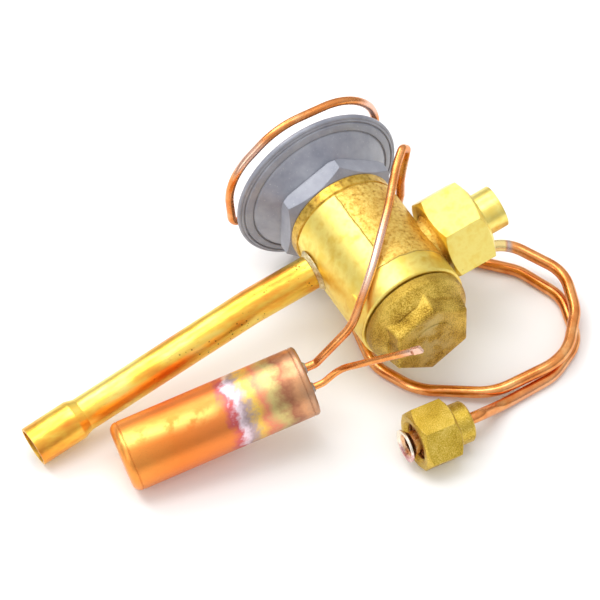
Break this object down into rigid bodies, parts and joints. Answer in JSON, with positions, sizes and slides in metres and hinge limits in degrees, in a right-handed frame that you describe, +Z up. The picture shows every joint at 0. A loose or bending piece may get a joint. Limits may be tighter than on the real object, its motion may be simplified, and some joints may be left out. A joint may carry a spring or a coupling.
{
  "type": "expansion valve",
  "caption": "Brass refrigerant expansion valve: round diaphragm head, flare inlet, belled outlet tube, seal cap, capillary with sensing bulb, looped equalizer tube with flare nut.",
  "frame": {"origin": "centre of the plan outline at floor level, the valve lying as it comes to rest", "axes": "+X runs from the outlet tube's bell towards the inlet nut, +Y towards the diaphragm head, +Z up"},
  "size_m": [0.1526, 0.0988, 0.0524],
  "materials": {
    "body_brass": "bright machined and forged brass",
    "collar_brass": "dull dark gold brass",
    "cap_brass": "sand-cast olive gold brass",
    "nut_brass": "bright pale brass",
    "inner_brass": "machined brass",
    "copper": "drawn copper, heat tinted",
    "tube_copper": "drawn copper, yellowed by heat",
    "element_paint": "grey paint on steel",
    "steel": "plain steel",
    "solder": "grey solder",
    "braze": "braze",
    "packing": "white packing"
  },
  "bodies": {
    "valve": {"valve_body": "body_brass", "valve_seat": "inner_brass", "bottom_plug": "inner_brass", "stem_packing": "packing", "packing_nut": "inner_brass", "inlet_strainer": "steel", "outlet_tube": "tube_copper", "outlet_braze": "braze", "element_collar": "collar_brass", "element_hex": "element_paint", "lower_cup": "element_paint", "rim_weld": "element_paint", "diaphragm": "steel", "upper_cup": "element_paint", "capillary_tube": "copper", "dome_solder": "solder", "sensing_bulb": "copper", "charging_stub": "copper", "capillary_solder": "solder", "stub_solder": "solder", "equalizer_tube": "copper", "equalizer_braze": "braze", "equalizer_flare": "copper"},
    "pin_set": {"valve_pin": "steel", "pin_carrier": "inner_brass", "push_rod_1": "steel", "push_rod_2": "steel", "buffer_plate": "inner_brass", "superheat_spring": "steel"},
    "guide": {"spring_guide": "inner_brass"},
    "stem": {"adjusting_stem": "inner_brass"},
    "gasket": {"cap_gasket": "copper"},
    "cap": {"seal_cap": "cap_brass"},
    "adapter": {"inlet_adapter": "nut_brass"},
    "inlet_nut": {"inlet_nut": "nut_brass"},
    "flare_nut": {"equalizer_nut": "cap_brass"}
  },
  "joints": [
    {"name": "pin_lift", "type": "slide", "parent": "valve", "child": "pin_set", "axis": [-0.0055, -0.9995, 0.0306], "range_m": [0, 0.0008], "stiffness_N_per_m": 8000, "springref_m": -0.002, "deforming": ["superheat_spring"]},
    {"name": "stem_turn", "type": "hinge", "parent": "valve", "child": "stem", "pos_m": [0.02567, 0.01304, 0.0249], "axis": [-0.0055, -0.9995, 0.0306], "range_deg": [-675, 900]},
    {"name": "guide_travel", "type": "slide", "parent": "valve", "child": "guide", "axis": [0.0055, 0.9995, -0.0306], "range_m": [-0.0015, 0.002], "deforming": ["superheat_spring"]},
    {"name": "cap_travel", "type": "slide", "parent": "valve", "child": "gasket", "axis": [-0.0055, -0.9995, 0.0306], "range_m": [0, 0.006]},
    {"name": "cap_turn", "type": "hinge", "parent": "gasket", "child": "cap", "pos_m": [0.02567, 0.01304, 0.0249], "axis": [-0.0055, -0.9995, 0.0306], "range_deg": [0, 2160]},
    {"name": "adapter_travel", "type": "slide", "parent": "valve", "child": "adapter", "axis": [0.9844, 0, 0.1759], "range_m": [0, 0.00847]},
    {"name": "inlet_nut_turn", "type": "hinge", "parent": "adapter", "child": "inlet_nut", "pos_m": [0.02561, 0.00173, 0.02525], "axis": [0.9844, 0, 0.1759], "range_deg": [0, 2160]},
    {"name": "flare_nut_turn", "type": "hinge", "parent": "valve", "child": "flare_nut", "pos_m": [0.0187, -0.04018, 0.00794], "axis": [0.9991, -0.0422, 0], "continuous": true}
  ],
  "couplings": [
    {"joint": "stem_turn", "follows": "guide_travel", "rad_per_m": 7854},
    {"joint": "cap_travel", "follows": "cap_turn", "m_per_rad": 0.00015914},
    {"joint": "adapter_travel", "follows": "inlet_nut_turn", "m_per_rad": 0.00022458}
  ]
}
